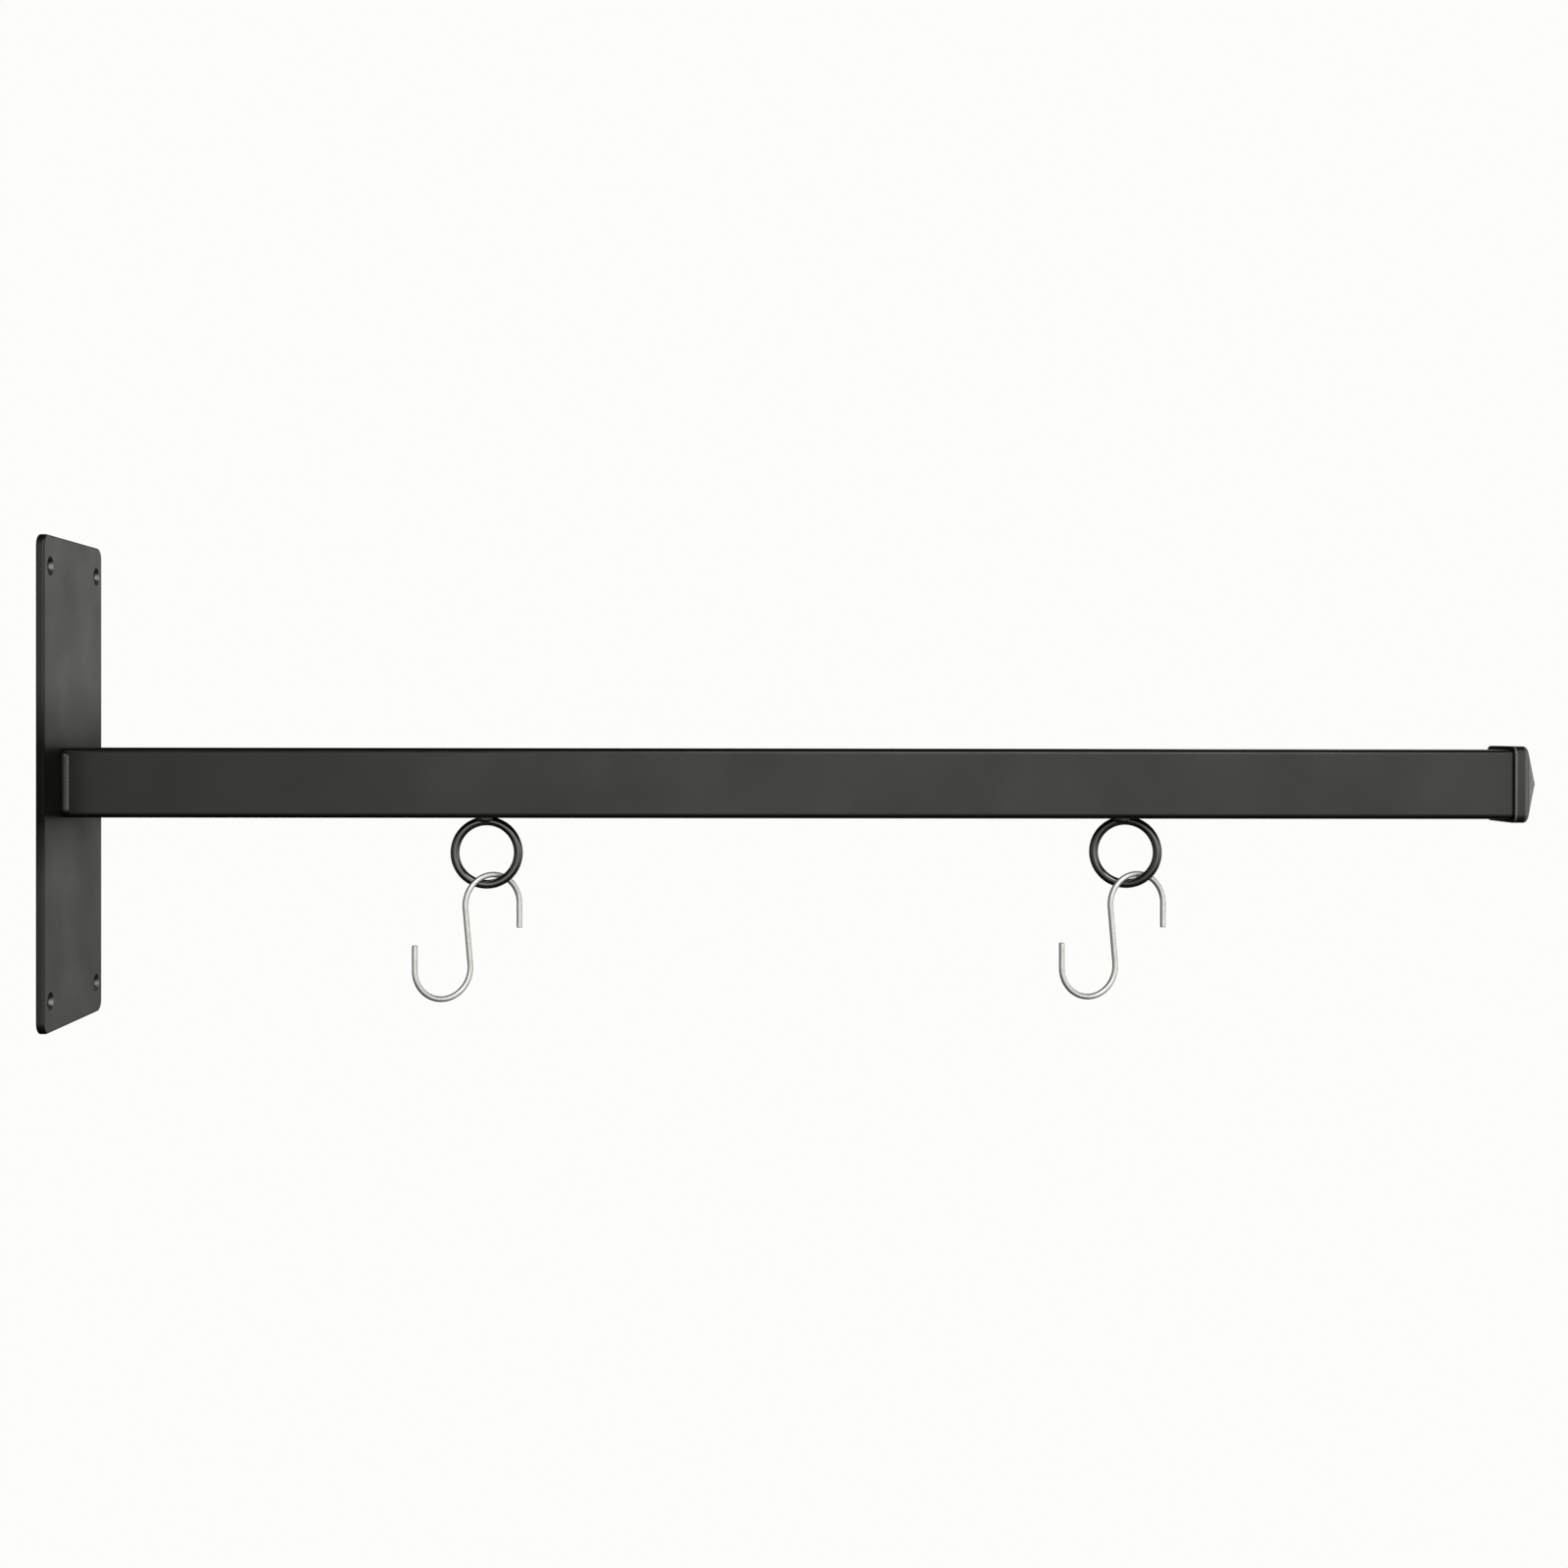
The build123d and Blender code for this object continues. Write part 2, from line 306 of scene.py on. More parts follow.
class BeadSettings(PropertyGroup):
    """Shape of the weld beads under the coat."""

    ripple_pitch: FloatProperty(
        name="Ripple pitch", description="Distance from one ripple of the bead to the next",
        unit="LENGTH", min=0.0005, default=2.1 * MILLIMETRE)
    ripple_depth: FloatProperty(
        name="Ripple depth", description="Depth of the ripples",
        unit="LENGTH", min=0, default=0.05 * MILLIMETRE)
    ripple_wander: FloatProperty(
        name="Ripple wander", description="How unevenly the ripples follow each other, in pitches",
        min=0, max=1, default=0.25)
    ripple_bow: FloatProperty(
        name="Ripple bow", description="How far the ripples bow in the bead's middle, in pitches",
        min=0, max=1, default=0.5)
    gloss: FloatProperty(
        name="Index of refraction", description="How strongly the coat mirrors on the beads",
        min=1, max=3, default=2.0)
    # Painted shade: the arm beads' coat loses its gloss near the plate, in the crease where shade falls
    painted_shade_foot: FloatProperty(
        name="Dull foot", description="Height above the plate up to which the arm beads are dull",
        unit="LENGTH", min=0, default=0.9 * MILLIMETRE)
    glossy_from: FloatProperty(
        name="Glossy from", description="Height above the plate from which the arm beads are glossy",
        unit="LENGTH", min=0.0001, default=3.4 * MILLIMETRE)
    arm_height: FloatProperty(
        name="Height on arm", description="How far the beads at the arm's foot reach along the arm",
        unit="LENGTH", min=0.0005, default=3.8 * MILLIMETRE)
    arm_width: FloatProperty(
        name="Width on plate", description="How far the beads at the arm's foot reach over the plate",
        unit="LENGTH", min=0.0005, default=3.2 * MILLIMETRE)
    dome_share: FloatProperty(
        name="Dome share", description="Length of the domed ends, as a part of the height on the arm",
        min=0.1, max=3, default=0.9)
    sink: FloatProperty(
        name="Sink", description="How far the bead runs into the metal that it joins",
        unit="LENGTH", min=0, default=0.3 * MILLIMETRE)
    face_steps: IntProperty(
        name="Face steps", description="Number of faces across the bead", min=4, default=12)
    lump_size: FloatVectorProperty(
        name="Lump size", description="Length, width and depth of the lump that holds a ring",
        subtype="TRANSLATION", unit="LENGTH", size=3,
        default=(9.9 * MILLIMETRE, 7.9 * MILLIMETRE, 3.4 * MILLIMETRE))
    lump_squareness: FloatProperty(
        name="Lump squareness", description="2 for an oval lump, more for a squarer one",
        min=2, max=6, default=2.7)


class StudioSettings(PropertyGroup):
    """Camera, floor and light."""

    focal_length: FloatProperty(
        name="Focal length", description="Focal length on a 36 mm sensor, in millimetres",
        min=10, default=47.48)
    camera_place: FloatVectorProperty(
        name="Camera place", description="Place of the camera, from the middle of the wall face",
        subtype="TRANSLATION", unit="LENGTH", size=3, default=(0.3648, -1.1506, 0.0310))
    pan: FloatProperty(
        name="Pan", description="Turn of the camera towards the arm's end",
        subtype="ANGLE", default=math.radians(0.521))
    tilt: FloatProperty(
        name="Tilt", description="Turn of the camera upwards", subtype="ANGLE", default=math.radians(-0.246))
    roll: FloatProperty(
        name="Roll", description="Lift of the camera's right side", subtype="ANGLE",
        default=math.radians(0.085))
    shift: FloatVectorProperty(
        name="Shift", description="Shift of the picture to the right and up, in picture widths",
        size=2, default=(0.0267, -0.0306))
    floor_drop: FloatProperty(
        name="Floor drop", description="Distance from the bottom of the plate down to the floor",
        unit="LENGTH", min=0, default=0.9)
    floor_size: FloatProperty(
        name="Floor size", description="Width of the floor", unit="LENGTH", min=1, default=30)
    background: FloatVectorProperty(
        name="Background", description="Colour of the backdrop and the floor",
        subtype="COLOR", size=3, min=0, max=1, default=(0.98, 0.98, 0.965))
    light_colour: FloatVectorProperty(
        name="Light colour", description="Colour of the light from all round",
        subtype="COLOR", size=3, min=0, max=1, default=(1.0, 1.0, 0.945))
    softbox_power: FloatProperty(
        name="Softbox power", description="Power of the soft light over the camera, in watts",
        min=0, default=18)
    softbox_size: FloatVectorProperty(
        name="Softbox size", description="Width and height of the soft light",
        unit="LENGTH", size=2, min=0.01, default=(1.4, 0.7))
    softbox_place: FloatVectorProperty(
        name="Softbox place", description="Place of the soft light, from the middle of the wall face",
        subtype="TRANSLATION", unit="LENGTH", size=3, default=(0.9, -1.7, 1.7))
    softbox_aim: FloatVectorProperty(
        name="Softbox aim", description="Point that the soft light faces",
        subtype="TRANSLATION", unit="LENGTH", size=3, default=(0.4, 0, 0))


class BracketSettings(PropertyGroup):
    """All the settings of the bracket."""

    coat: PointerProperty(type=CoatSettings)
    ring: PointerProperty(type=RingSettings)
    cap: PointerProperty(type=CapSettings)
    hook: PointerProperty(type=HookSettings)
    bead: PointerProperty(type=BeadSettings)
    studio: PointerProperty(type=StudioSettings)


# Materials


def start_material(name, gloss=1.5):
    """A new material with its node tree and its shader."""
    material = bpy.data.materials.new(name)
    material.use_nodes = True
    tree = material.node_tree
    shader = tree.nodes["Principled BSDF"]
    shader.inputs["IOR"].default_value = gloss
    return material, tree, shader


def calculate(tree, operation, *values):
    """A maths node on values that are numbers or sockets."""
    node = tree.nodes.new("ShaderNodeMath")
    node.operation = operation
    for value, socket in zip(values, node.inputs):
        if isinstance(value, (int, float)):
            socket.default_value = value
        else:
            tree.links.new(value, socket)
    return node.outputs["Value"]


def object_place(tree):
    """X, Y and Z in the piece's own coordinates."""
    place = tree.nodes.new("ShaderNodeTexCoord")
    parts = tree.nodes.new("ShaderNodeSeparateXYZ")
    tree.links.new(place.outputs["Object"], parts.inputs["Vector"])
    return parts.outputs


def object_noise(tree, width, detail, density=(1, 1, 1)):
    """Noise on the piece's own coordinates, with spots of this width."""
    place = tree.nodes.new("ShaderNodeTexCoord")
    mapping = tree.nodes.new("ShaderNodeMapping")
    mapping.inputs["Scale"].default_value = density
    spots = tree.nodes.new("ShaderNodeTexNoise")
    spots.inputs["Scale"].default_value = 1 / width
    spots.inputs["Detail"].default_value = detail
    tree.links.new(place.outputs["Object"], mapping.inputs["Vector"])
    tree.links.new(mapping.outputs["Vector"], spots.inputs["Vector"])
    return spots.outputs["Fac"]


def spread(tree, value, low, high):
    """The middle of a noise's range, spread to run from low to high."""
    spreader = tree.nodes.new("ShaderNodeMapRange")
    spreader.inputs["From Min"].default_value = NOISE_LOW
    spreader.inputs["From Max"].default_value = NOISE_HIGH
    spreader.inputs["To Min"].default_value = low
    spreader.inputs["To Max"].default_value = high
    tree.links.new(value, spreader.inputs["Value"])
    return spreader.outputs["Result"]


def blend_colours(tree, value, first, second):
    """A colour between two colours or sockets, by a value from 0 to 1."""
    mixer = tree.nodes.new("ShaderNodeMix")
    mixer.data_type = "RGBA"
    tree.links.new(value, mixer.inputs["Factor"])
    for colour, socket in ((first, mixer.inputs["A"]), (second, mixer.inputs["B"])):
        if isinstance(colour, bpy.types.NodeSocket):
            tree.links.new(colour, socket)
        else:
            socket.default_value = (*colour, 1)
    return mixer.outputs["Result"]


def paint_over(tree, shader, share, colour):
    """Lays a colour or a socket over the shader's own colour, by a share from 0 to 1."""
    below = shader.inputs["Base Color"].links[0].from_socket
    tree.links.new(blend_colours(tree, share, below, colour), shader.inputs["Base Color"])


def vary_surface(tree, shader, settings, cloud, second_colour, dull):
    """Lets one noise vary the colour and another one the roughness."""
    colour = blend_colours(tree, spread(tree, cloud, 0, 1), settings.colour, second_colour)
    roughness = spread(tree, dull, settings.roughness, settings.dull_roughness)
    tree.links.new(colour, shader.inputs["Base Color"])
    tree.links.new(roughness, shader.inputs["Roughness"])


def raise_bumps(tree, shader, *layers):
    """Relief on the shader from layers of (height, depth in metres)."""
    below = None
    for height, depth in layers:
        bump = tree.nodes.new("ShaderNodeBump")
        bump.inputs["Strength"].default_value = 1
        bump.inputs["Distance"].default_value = depth
        tree.links.new(height, bump.inputs["Height"])
        if below:
            tree.links.new(below, bump.inputs["Normal"])
        below = bump.outputs["Normal"]
    tree.links.new(below, shader.inputs["Normal"])


def powder_coat(settings, name, gloss=1.5):
    """Half-gloss black powder coat: orange peel, slow sag and thin spots."""
    material, tree, shader = start_material(name, gloss)
    peel = object_noise(tree, settings.peel_width, 1)
    sag = object_noise(tree, settings.sag_width, 1)
    cloud = object_noise(tree, settings.cloud_width, 4)
    dull = object_noise(tree, settings.dull_width, 3)
    vary_surface(tree, shader, settings, cloud, settings.thin_colour, dull)
    raise_bumps(tree, shader, (sag, settings.sag_depth), (peel, settings.peel_depth))
    return material


def ring_coat(settings):
    """Glossy black coat over drawn wire, with slight ripples."""
    material, tree, shader = start_material("gloss_black_ring_coat", settings.gloss)
    ripple = object_noise(tree, settings.ripple_width, 2)
    cloud = object_noise(tree, settings.cloud_width, 4)
    vary_surface(tree, shader, settings, cloud, settings.thin_colour, cloud)
    raise_bumps(tree, shader, (ripple, settings.ripple_depth))
    return material


def moulded_plastic(settings):
    """Black moulded plastic with a fine grain and slight flow marks."""
    material, tree, shader = start_material("black_moulded_plastic", settings.gloss)
    grain = object_noise(tree, settings.grain_width, 2)
    flow = object_noise(tree, settings.flow_width, 3, FLOW_DENSITY)
    vary_surface(tree, shader, settings, flow, settings.pale_colour, flow)
    raise_bumps(tree, shader, (flow, settings.flow_depth), (grain, settings.grain_depth))
    return material


def painted_highlight_line(material, settings, middle, reach):
    """Painted highlight: a paler line round the cap, this far to each side of its middle in X."""
    tree = material.node_tree
    away = calculate(tree, "ABSOLUTE", calculate(tree, "SUBTRACT", object_place(tree)["X"], middle))
    line = tree.nodes.new("ShaderNodeMapRange")
    line.interpolation_type = "SMOOTHSTEP"
    line.inputs["From Min"].default_value = reach
    line.inputs["From Max"].default_value = LINE_CORE * reach
    tree.links.new(away, line.inputs["Value"])
    paint_over(tree, tree.nodes["Principled BSDF"], line.outputs["Result"], settings.painted_highlight_colour)


def bright_zinc(settings):
    """Bright zinc on drawn wire, clouded in places."""
    material, tree, shader = start_material("bright_zinc_plate")
    cloud = object_noise(tree, settings.cloud_width, 5)
    marks = object_noise(tree, settings.draw_width, 3, DRAW_DENSITY)
    shader.inputs["Metallic"].default_value = 1
    vary_surface(tree, shader, settings, cloud, settings.cloudy_colour, cloud)
    raise_bumps(tree, shader, (marks, settings.draw_depth))
    return material


def fade_gloss(material, axis, dull_at, glossy_at):
    """Painted shade: turns the coat's gloss down near a joint, so that it reflects less there and looks
    shaded.

    It is nearly matt at one distance from the origin along this axis and has
    its full gloss at the other, and beyond it.
    """
    tree = material.node_tree
    gloss = tree.nodes.new("ShaderNodeMapRange")
    gloss.inputs["From Min"].default_value = dull_at
    gloss.inputs["From Max"].default_value = glossy_at
    gloss.inputs["To Min"].default_value = MATT_LEVEL
    gloss.inputs["To Max"].default_value = GLOSSY_LEVEL
    tree.links.new(calculate(tree, "ABSOLUTE", object_place(tree)[axis]), gloss.inputs["Value"])
    tree.links.new(gloss.outputs["Result"], tree.nodes["Principled BSDF"].inputs["Specular IOR Level"])


def bead_material(context):
    """The glossier coat on the weld beads, made once, with painted shade at the arm beads' foot, where its
    gloss is turned down.
    """
    made = bpy.data.materials.get("black_bead_coat")
    if made:
        return made
    settings = context.scene.sign_bracket
    bead = settings.bead
    material = powder_coat(settings.coat, "black_bead_coat", bead.gloss)
    plate_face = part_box("wall_plate")[1].x
    # Painted shade in the crease at the plate: the bead's gloss is turned down there
    fade_gloss(material, "X", plate_face + bead.painted_shade_foot, plate_face + bead.glossy_from)
    return material


def bare_screw_holes(material, settings):
    """Lets the metal show through the coat inside the four screw holes."""
    tree = material.node_tree
    shader = tree.nodes["Principled BSDF"]
    place = object_place(tree)
    side = calculate(tree, "SUBTRACT", calculate(tree, "ABSOLUTE", place["Y"]), HOLE_ACROSS)
    rise = calculate(tree, "SUBTRACT", calculate(tree, "ABSOLUTE", place["Z"]), HOLE_UP)
    squares = [calculate(tree, "MULTIPLY", part, part) for part in (side, rise)]
    away = calculate(tree, "SQRT", calculate(tree, "ADD", *squares))
    deep = calculate(tree, "LESS_THAN", place["X"], BORE_DEPTH)
    narrower = calculate(tree, "MULTIPLY", deep, COUNTERSINK_REACH - BORE_REACH)
    inside = calculate(tree, "LESS_THAN", away, calculate(tree, "SUBTRACT", COUNTERSINK_REACH, narrower))
    metal = blend_colours(tree, deep, settings.hole_colour, settings.bore_colour)
    paint_over(tree, shader, inside, metal)
    tree.links.new(inside, shader.inputs["Metallic"])


def finish_nodes(material, *names):
    """Gives this material to pieces that keep their shape from the frame."""
    for name in names:
        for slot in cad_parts[name].material_slots:
            slot.material = material


# Weld beads


def finished_piece(name, mesh, material, replaced):
    """Makes a finished piece from its mesh, in place of the frame's plain one."""
    bmesh.ops.remove_doubles(mesh, verts=mesh.verts, dist=1 * MICROMETRE)
    bmesh.ops.recalc_face_normals(mesh, faces=mesh.faces)
    for face in mesh.faces:
        face.smooth = True
    data = bpy.data.meshes.new(name)
    mesh.to_mesh(data)
    mesh.free()
    data.materials.append(material)
    piece = bpy.data.objects.new(name, data)
    bpy.context.scene.collection.objects.link(piece)
    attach(piece, BRACKET)
    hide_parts(replaced)
    return piece


def bead_loop(mesh, settings, corner, side, share, height):
    """Closed loop across an arm bead at this height, with a round outside.

    The corner is the line where the arm's side meets the plate, the side is
    1 for the +Y face and -1 for the -Y face, and the share is the bead's size
    here as a part of its full size. The rest of the loop lies sunk in the
    plate and the arm.
    """
    sink = settings.sink
    steps = settings.face_steps
    width = settings.arm_width * share
    rise = settings.arm_height * share
    outline = [(-sink, -sink), (-sink, width)]
    for step in range(steps + 1):
        turn = math.pi / 2 * step / steps
        out = 1 + bead_ripple(settings, height, turn) / settings.arm_height
        x = rise * out * math.sin(turn)
        y = width * out * math.cos(turn)
        outline.append((x, y))
    outline.append((rise, -sink))
    loop = [mesh.verts.new((corner.x + x, corner.y + side * y, height)) for x, y in outline]
    return [mesh.edges.new(pair) for pair in zip(loop, loop[1:] + loop[:1])]


def bead_ripple(settings, height, turn):
    """Height of the weld pool's ripple at this height and turn across the bead."""
    share = math.sin(2 * turn)
    wander = settings.ripple_wander * noise.noise(Vector((0, 0, height * WANDER_FINENESS)))
    phase = height / settings.ripple_pitch + wander + settings.ripple_bow * share
    ripple = (math.cos(math.tau * phase) - 1) / 2
    lumps = noise.noise(Vector((math.cos(turn), math.sin(turn), height * BEAD_LUMP_FINENESS)))
    return share * (ripple + lumps) * settings.ripple_depth


def arm_bead(context, which, side):
    """Straight weld bead with domed ends, up one side of the arm's foot."""
    settings = context.scene.sign_bracket.bead
    low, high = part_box(f"{which}_arm_weld")
    arm_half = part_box("arm_tube")[1].y
    corner = Vector((low.x, side * arm_half, 0))
    half_length = (high.z - low.z) / 2
    dome = settings.dome_share * settings.arm_height
    steps = round(2 * half_length / (settings.ripple_pitch / STEPS_PER_RIPPLE))
    mesh = bmesh.new()
    loops = []
    for step in range(steps + 1):
        height = -half_length * math.cos(math.pi * step / steps)
        beyond = max(0, abs(height) - (half_length - dome)) / dome
        share = math.sqrt(max(LEAST_SQUARE, 1 - beyond**2))
        loops.append(bead_loop(mesh, settings, corner, side, share, height))
    for first, second in zip(loops, loops[1:]):
        bmesh.ops.bridge_loops(mesh, edges=first + second)
    for loop in (loops[0], loops[-1]):
        bmesh.ops.edgeloop_fill(mesh, edges=loop)
    name = f"{which}_arm_weld"
    return finished_piece(f"{name}_bead", mesh, bead_material(context), name)


def ring_bead(context, which, turn):
    """Lump of weld that holds a ring under the arm, drawn down round its wire."""
    settings = context.scene.sign_bracket.bead
    low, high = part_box(f"{which}_ring_weld")
    middle = (low + high) / 2
    depth = settings.lump_size[2]
    squareness = settings.lump_squareness
    levels = 2 * settings.face_steps
    mesh = bmesh.new()
    made = bmesh.ops.create_circle(mesh, cap_ends=True, segments=LUMP_SEGMENTS, radius=1)
    for corner in made["verts"]:
        for axis in (0, 1):
            part = corner.co[axis]
            corner.co[axis] = math.copysign(abs(part) ** (2 / squareness), part)
    half = (settings.lump_size[0] / 2, settings.lump_size[1] / 2, 1)
    bmesh.ops.scale(mesh, verts=made["verts"], vec=half)
    bmesh.ops.translate(mesh, verts=made["verts"], vec=(0, 0, settings.sink))
    moving = list(mesh.edges)
    width_before = 1.0
    height_before = settings.sink
    for level in range(levels):
        along = math.pi / 2 * level / levels
        width = math.cos(along) ** (2 / squareness)
        height = -depth * math.sin(along) ** (2 / squareness)
        made = bmesh.ops.extrude_edge_only(mesh, edges=moving)["geom"]
        moving = [part for part in made if isinstance(part, bmesh.types.BMEdge)]
        verts = [part for part in made if isinstance(part, bmesh.types.BMVert)]
        narrow = width / width_before
        bmesh.ops.scale(mesh, verts=verts, vec=(narrow, narrow, 1))
        bmesh.ops.translate(mesh, verts=verts, vec=(0, 0, height - height_before))
        width_before = width
        height_before = height
    bmesh.ops.edgeloop_fill(mesh, edges=moving)
    mesh.normal_update()
    own_lumps = Vector((50 * turn, 0, 0))
    lumpy_below = -0.05 * depth
    for corner in mesh.verts:
        if corner.co.z < lumpy_below:
            lump = noise.noise(corner.co * RING_LUMP_FINENESS + own_lumps)
            corner.co += corner.normal * lump * 2 * settings.ripple_depth
    bmesh.ops.rotate(mesh, verts=mesh.verts, cent=(0, 0, 0), matrix=Matrix.Rotation(turn, 3, "Z"))
    bmesh.ops.translate(mesh, verts=mesh.verts, vec=(middle.x, middle.y, high.z))
    name = f"{which}_ring_weld"
    return finished_piece(f"{name}_bead", mesh, bead_material(context), name)


# End cap


def square_loop(mesh, at_x, half, corner_radius):
    """Edges of a square with round corners across the arm, at this X."""
    middle = half - corner_radius
    loop = []
    for quarter in range(4):
        diagonal = math.pi / 2 * (quarter + 0.5)
        middle_y = math.copysign(middle, math.cos(diagonal))
        middle_z = math.copysign(middle, math.sin(diagonal))
        for step in range(CORNER_STEPS + 1):
            turn = math.pi / 2 * (quarter + step / CORNER_STEPS)
            y = middle_y + corner_radius * math.cos(turn)
            z = middle_z + corner_radius * math.sin(turn)
            loop.append(mesh.verts.new((at_x, y, z)))
    return [mesh.edges.new(pair) for pair in zip(loop, loop[1:] + loop[:1])]


def cap_sections(settings, rim, shoulder, tip, half, bore):
    """Sections of the cap as (X, half size, corner radius).

    They run from the inner tip along the inside to the rim, round it and
    along the outside to the blunt outer tip.
    """
    wall = settings.wall
    chamfer = settings.chamfer
    point = settings.tip_reach
    radius = settings.shoulder_radius
    corner = settings.corner_radius
    inner_corner = corner - wall
    slope = math.atan2(half - point, tip - shoulder)
    start = shoulder - radius * math.tan(slope / 2)
    sections = [
        (tip - wall, point, point / 3), (tip - wall - chamfer, point + 2 * chamfer, point / 2),
        (shoulder + chamfer, bore - chamfer, inner_corner), (shoulder - chamfer, bore, inner_corner),
        (rim + chamfer, bore, inner_corner), (rim, bore + chamfer, inner_corner + chamfer)]
    for step in range(RIM_STEPS + 1):
        turn = math.pi / 2 * step / RIM_STEPS
        inwards = settings.rim_radius * (1 - math.sin(turn))
        sections.append((rim + settings.rim_radius * (1 - math.cos(turn)), half - inwards, corner))
    sections += [(rim + 8 * chamfer, half, corner), (start - 2 * chamfer, half, corner)]
    for step in range(SHOULDER_STEPS + 1):
        turn = slope * step / SHOULDER_STEPS
        inwards = radius * (1 - math.cos(turn))
        sections.append((start + radius * math.sin(turn), half - inwards, corner))
    foot = Vector(sections[-1])
    top = Vector((tip - 4 * chamfer, point, point / 3))
    sections += [foot.lerp(top, share) for share in PYRAMID_SHARES]
    sections += [(tip - chamfer, 0.75 * point, point / 4), (tip, 0.35 * point, point / 9)]
    return sections


def rounded_cap(context):
    """The end cap with a soft shoulder, a fine rim and painted highlight lines beside both."""
    settings = context.scene.sign_bracket.cap
    low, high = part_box("end_cap")
    arm_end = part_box("arm_tube")[1]
    rim = low.x - settings.skirt_growth
    bore = arm_end.y + settings.fit_gap
    sections = cap_sections(settings, rim, arm_end.x, high.x, high.y, bore)
    mesh = bmesh.new()
    loops = [square_loop(mesh, *section) for section in sections]
    for first, second in zip(loops, loops[1:]):
        bmesh.ops.bridge_loops(mesh, edges=first + second)
    for loop in (loops[0], loops[-1]):
        bmesh.ops.edgeloop_fill(mesh, edges=loop)
    material = moulded_plastic(settings)
    # Painted highlights: pale lines beside the rim and on the shoulder
    painted_highlight_line(material, settings, rim + settings.rim_highlight_inset, settings.rim_highlight_reach)
    painted_highlight_line(material, settings, arm_end.x - settings.shoulder_highlight_inset, settings.shoulder_highlight_reach)
    return finished_piece("rounded_end_cap", mesh, material, "end_cap")


# Studio


def soft_surroundings(scene, settings):
    """World light: bright round the horizon in front, dark above and below.

    The camera itself sees the plain backdrop colour.
    """
    world = bpy.data.worlds.new("studio")
    world.use_nodes = True
    scene.world = world
    tree = world.node_tree
    background = tree.nodes["Background"]
    background.inputs["Color"].default_value = (*settings.light_colour, 1)
    place = tree.nodes.new("ShaderNodeTexCoord")
    parts = tree.nodes.new("ShaderNodeSeparateXYZ")
    tree.links.new(place.outputs["Generated"], parts.inputs["Vector"])
    by_height = light_ramp(tree, parts.outputs["Z"], LIGHT_BY_HEIGHT)
    round_horizon = tree.nodes.new("ShaderNodeMix")
    tree.links.new(light_ramp(tree, parts.outputs["Y"], FRONT_TO_BACK), round_horizon.inputs["Factor"])
    tree.links.new(light_ramp(tree, parts.outputs["X"], LIGHT_IN_FRONT), round_horizon.inputs["A"])
    tree.links.new(light_ramp(tree, parts.outputs["X"], LIGHT_BEHIND), round_horizon.inputs["B"])
    strength = calculate(tree, "MULTIPLY", by_height, round_horizon.outputs["Result"])
    tree.links.new(strength, background.inputs["Strength"])
    backdrop = tree.nodes.new("ShaderNodeBackground")
    backdrop.inputs["Color"].default_value = (*settings.background, 1)
    ray = tree.nodes.new("ShaderNodeLightPath")
    chooser = tree.nodes.new("ShaderNodeMixShader")
    tree.links.new(ray.outputs["Is Camera Ray"], chooser.inputs["Fac"])
    tree.links.new(background.outputs["Background"], chooser.inputs[1])
    tree.links.new(backdrop.outputs["Background"], chooser.inputs[2])
    tree.links.new(chooser.outputs["Shader"], tree.nodes["World Output"].inputs["Surface"])


def light_ramp(tree, value, stops):
    """Light by one part of the direction, from stops of (part, strength)."""
    strongest = max(strength for part, strength in stops)
    half = tree.nodes.new("ShaderNodeMapRange")
    half.inputs["From Min"].default_value = -1
    half.inputs["From Max"].default_value = 1
    tree.links.new(value, half.inputs["Value"])
    ramp = tree.nodes.new("ShaderNodeValToRGB")
    elements = ramp.color_ramp.elements
    elements.remove(elements[1])
    for number, (part, strength) in enumerate(stops):
        grey = strength / strongest
        place = (part + 1) / 2
        element = elements.new(place) if number else elements[0]
        element.position = place
        element.color = (grey, grey, grey, 1)
    tree.links.new(half.outputs["Result"], ramp.inputs["Fac"])
    return calculate(tree, "MULTIPLY", ramp.outputs["Color"], strongest)


def pale_floor(scene, settings):
    """A wide plain floor well below the bracket."""
    low, high = cad_box
    mesh = bmesh.new()
    made = bmesh.ops.create_grid(mesh, x_segments=1, y_segments=1, size=settings.floor_size / 2)
    bmesh.ops.translate(
        mesh, verts=made["verts"], vec=((low.x + high.x) / 2, 0, low.z - settings.floor_drop))
    data = bpy.data.meshes.new("floor")
    mesh.to_mesh(data)
    mesh.free()
    material = bpy.data.materials.new("pale_floor")
    material.use_nodes = True
    tree = material.node_tree
    tree.nodes.clear()
    glow = tree.nodes.new("ShaderNodeEmission")
    glow.inputs["Color"].default_value = (*settings.background, 1)
    output = tree.nodes.new("ShaderNodeOutputMaterial")
    tree.links.new(glow.outputs["Emission"], output.inputs["Surface"])
    data.materials.append(material)
    floor = bpy.data.objects.new("floor", data)
    scene.collection.objects.link(floor)
    floor.visible_diffuse = False
    floor.visible_glossy = False


def softbox(scene, settings):
    """A large soft light high over the camera, a little to the right."""
    data = bpy.data.lights.new("softbox", "AREA")
    data.shape = "RECTANGLE"
    data.size, data.size_y = settings.softbox_size
    data.energy = settings.softbox_power
    light = bpy.data.objects.new("softbox", data)
    light.location = settings.softbox_place
    aim = Vector(settings.softbox_aim) - light.location
    light.rotation_euler = aim.to_track_quat("-Z", "Y").to_euler()
    scene.collection.objects.link(light)


def photo_camera(scene, settings):
    """The camera at the photograph's place and angle."""
    data = bpy.data.cameras.new("camera")
    data.sensor_width = 36
    data.lens = settings.focal_length
    data.shift_x = settings.shift[0]
    data.shift_y = settings.shift[1]
    camera = bpy.data.objects.new("camera", data)
    camera.location = settings.camera_place
    camera.rotation_euler = Euler((math.pi / 2 + settings.tilt, -settings.roll, -settings.pan))
    scene.collection.objects.link(camera)
    scene.camera = camera


# Operators


